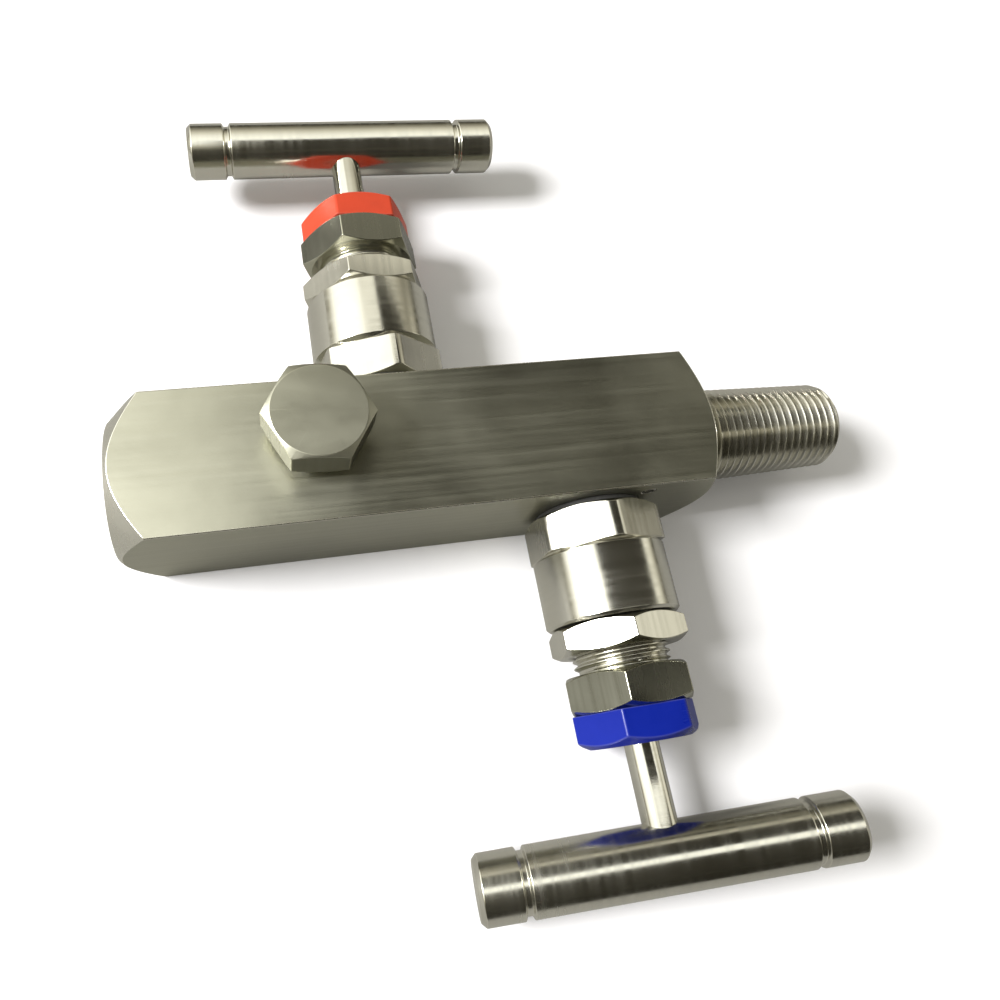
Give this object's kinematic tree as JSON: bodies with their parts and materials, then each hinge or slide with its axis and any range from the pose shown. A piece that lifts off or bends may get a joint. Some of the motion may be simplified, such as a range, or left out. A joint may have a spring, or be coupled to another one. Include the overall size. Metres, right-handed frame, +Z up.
{
  "type": "two-valve needle valve manifold",
  "caption": "Square bar block-and-bleed manifold with opposed isolating and vent needle valves, T-bar handles, coloured dust caps, a hex vent plug and a male taper thread.",
  "frame": {"origin": "middle of the flat underside of the square bar body", "axes": "+X along the bar to the male process thread, +Y to the vent valve (red cap), +Z up through the vent plug"},
  "size_m": [0.1611, 0.183, 0.0414],
  "materials": {
    "body_steel": "ground and brushed stainless bar, grain along the bar",
    "plug_steel": "turned and milled stainless steel",
    "seat_steel": "turned stainless steel",
    "seal": "dark compressed seal washer",
    "bonnet_steel": "bright turned stainless steel",
    "pin_steel": "dark spring steel",
    "nut_steel": "bright machined stainless steel",
    "gland_steel": "machined stainless steel",
    "inner_steel": "turned stainless steel",
    "packing": "white PTFE",
    "cap_blue": "moulded blue plastic",
    "cap_red": "moulded orange-red plastic",
    "spindle_steel": "polished stainless steel",
    "handle_steel": "polished stainless bar",
    "screw_steel": "dark screw steel"
  },
  "bodies": {
    "manifold": {"body": "body_steel", "vent_plug": "plug_steel", "isolate_seat": "seat_steel", "isolate_bonnet_seal": "seal", "isolate_bonnet": "bonnet_steel", "isolate_lock_pin": "pin_steel", "isolate_lock_nut": "nut_steel", "isolate_gland_bolt": "gland_steel", "isolate_gland_follower": "inner_steel", "isolate_packing": "packing", "isolate_packing_washer": "inner_steel", "isolate_dust_cap": "cap_blue", "vent_seat": "seat_steel", "vent_bonnet_seal": "seal", "vent_bonnet": "bonnet_steel", "vent_lock_pin": "pin_steel", "vent_lock_nut": "nut_steel", "vent_gland_bolt": "gland_steel", "vent_gland_follower": "inner_steel", "vent_packing": "packing", "vent_packing_washer": "inner_steel", "vent_dust_cap": "cap_red"},
    "isolate_needle_body": {"isolate_needle": "inner_steel"},
    "isolate_spindle_body": {"isolate_spindle": "spindle_steel", "isolate_handle": "handle_steel", "isolate_handle_screw": "screw_steel"},
    "vent_needle_body": {"vent_needle": "inner_steel"},
    "vent_spindle_body": {"vent_spindle": "spindle_steel", "vent_handle": "handle_steel", "vent_handle_screw": "screw_steel"}
  },
  "joints": [
    {"name": "isolate_lift", "type": "slide", "parent": "manifold", "child": "isolate_needle_body", "axis": [0, -1, 0], "range_m": [-0.00376, 0.00126]},
    {"name": "isolate_turn", "type": "hinge", "parent": "isolate_needle_body", "child": "isolate_spindle_body", "pos_m": [0.034, -0.085, 0.015], "axis": [0, -1, 0], "range_deg": [-1080, 360]},
    {"name": "vent_lift", "type": "slide", "parent": "manifold", "child": "vent_needle_body", "axis": [0, 1, 0], "range_m": [-0.00376, 0.00126]},
    {"name": "vent_turn", "type": "hinge", "parent": "vent_needle_body", "child": "vent_spindle_body", "pos_m": [-0.0075, 0.085, 0.015], "axis": [0, 1, 0], "range_deg": [-1080, 360]}
  ],
  "couplings": [
    {"joint": "isolate_lift", "follows": "isolate_turn", "m_per_rad": 0.00019894},
    {"joint": "vent_lift", "follows": "vent_turn", "m_per_rad": 0.00019894}
  ]
}
